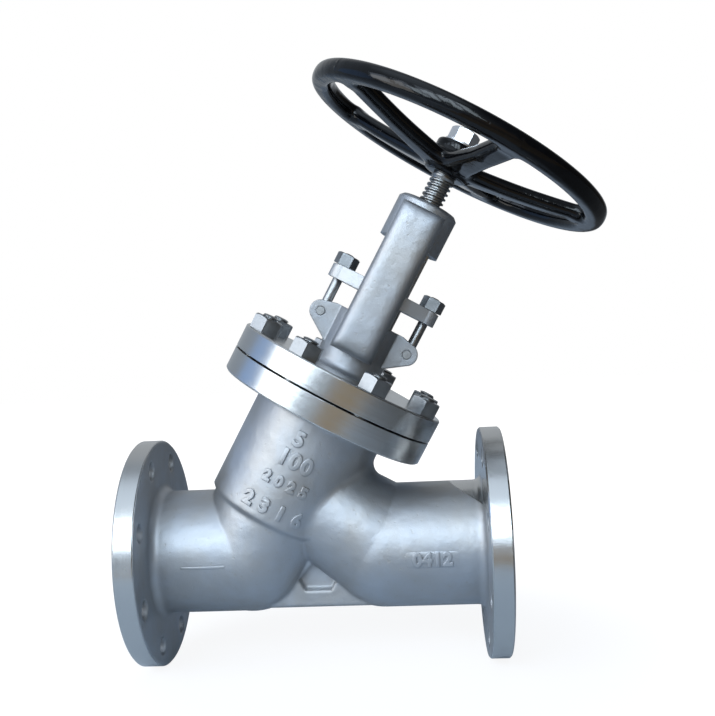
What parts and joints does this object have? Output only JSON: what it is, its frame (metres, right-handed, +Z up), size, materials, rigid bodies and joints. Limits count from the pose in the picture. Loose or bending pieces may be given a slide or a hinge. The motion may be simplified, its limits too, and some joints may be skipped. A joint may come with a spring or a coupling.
{
  "type": "y-pattern globe valve",
  "caption": "Flanged y-pattern globe valve with slanted bolted bonnet, outside screw and yoke, swing-bolted gland and spoked handwheel.",
  "frame": {"origin": "centre of the inlet flange's raised face, on the axis of the run", "axes": "+X along the run from inlet to outlet, +Z up so that the stem leans 30 degrees from +Z towards +X, Y across"},
  "size_m": [0.4738, 0.314, 0.5841],
  "materials": {
    "cast_stainless": "blasted satin",
    "bright_steel": "machined",
    "bronze": "machined",
    "gasket": "graphite",
    "packing": "graphite",
    "black_paint": "gloss"
  },
  "bodies": {
    "valve": {"body": "cast_stainless", "bonnet": "cast_stainless", "body_gasket": "gasket", "bonnet_studs": "bright_steel", "bonnet_nuts": "bright_steel", "packing_washer": "bright_steel", "gland_bush": "bright_steel", "gland_flange": "cast_stainless", "eyebolt_pin_left": "bright_steel", "eyebolt_pin_right": "bright_steel", "seat_ring": "bright_steel", "backseat_bush": "bright_steel", "yoke_bush": "bronze", "yoke_bush_screw": "bright_steel", "packing_ring_1": "packing", "packing_ring_2": "packing", "packing_ring_3": "packing", "packing_ring_4": "packing", "packing_ring_5": "packing"},
    "disc_assembly": {"disc": "bright_steel", "disc_nut": "bright_steel"},
    "spindle": {"stem": "bright_steel", "handwheel": "black_paint", "wheel_nut": "bright_steel", "wheel_washer": "bright_steel", "wheel_key": "bright_steel"},
    "swing_bolt_left": {"eyebolt_left": "bright_steel", "gland_nut_left": "bright_steel"},
    "swing_bolt_right": {"eyebolt_right": "bright_steel", "gland_nut_right": "bright_steel"}
  },
  "joints": [
    {"name": "disc_lift", "type": "slide", "parent": "valve", "child": "disc_assembly", "axis": [0.5, 0, 0.866], "range_m": [0, 0.028]},
    {"name": "wheel_turn", "type": "hinge", "parent": "disc_assembly", "child": "spindle", "pos_m": [0.33575, 0, 0.38581], "axis": [0.5, 0, 0.866], "range_deg": [0, 2016]},
    {"name": "left_bolt_swing", "type": "hinge", "parent": "valve", "child": "swing_bolt_left", "pos_m": [0.19528, 0, 0.23771], "axis": [0, -1, 0], "range_deg": [0, 90]},
    {"name": "right_bolt_swing", "type": "hinge", "parent": "valve", "child": "swing_bolt_right", "pos_m": [0.27772, 0, 0.19011], "axis": [0, 1, 0], "range_deg": [0, 90]}
  ],
  "couplings": [
    {"joint": "disc_lift", "follows": "wheel_turn", "m_per_rad": 0.00079577}
  ]
}
